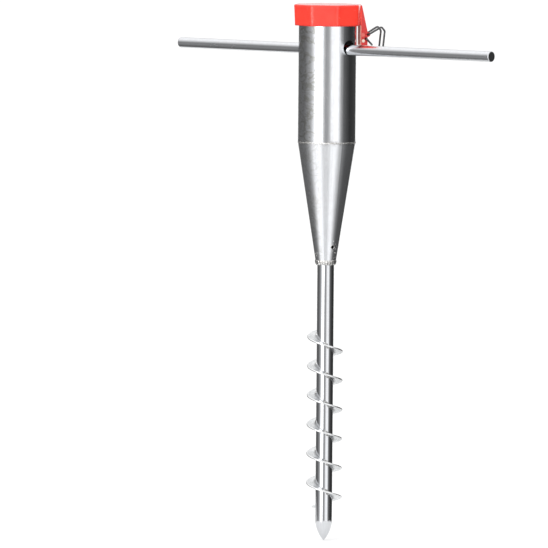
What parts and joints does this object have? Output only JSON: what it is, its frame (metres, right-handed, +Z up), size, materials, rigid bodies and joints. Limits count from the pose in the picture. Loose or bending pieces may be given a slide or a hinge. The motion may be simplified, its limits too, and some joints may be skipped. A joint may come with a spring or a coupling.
{
  "type": "screw-in ground spike",
  "caption": "Screw-in ground spike: zinc-plated sleeve and cone on a shank with an auger flight, with a turning bar and an octagonal plastic cap.",
  "frame": {"origin": "the tip of the shank's point, on the spike's axis", "axes": "+Z up along the spike's axis towards the mouth of the sleeve; X along the turning bar"},
  "size_m": [0.431, 0.0905, 0.5582],
  "materials": {
    "sleeve_zinc": "bright zinc plating, faintly mottled",
    "weld_zinc": "zinc-plated weld bead, rough",
    "shank_zinc": "bright zinc plating on drawn bar",
    "flight_zinc": "bright zinc plating on strip",
    "bar_zinc": "bright zinc plating on drawn bar",
    "cap_plastic": "moulded, semi-gloss, red",
    "bail_wire": "bright zinc-plated spring wire"
  },
  "bodies": {
    "spike": {"sleeve_tube": "sleeve_zinc", "sleeve_cone": "sleeve_zinc", "seam_weld": "weld_zinc", "neck_weld": "weld_zinc", "shank": "shank_zinc", "auger_flight": "flight_zinc"},
    "bar": {"turning_bar": "bar_zinc"},
    "cover": {"cap": "cap_plastic", "wire_bail": "bail_wire"}
  },
  "joints": [
    {"name": "bar_slide", "type": "slide", "parent": "spike", "child": "bar", "axis": [1, 0, 0], "range_m": [-0.185, 0.168]},
    {"name": "cap_lift", "type": "slide", "parent": "spike", "child": "cover", "axis": [0, 0, 1], "range_m": [0, 0.06]}
  ]
}
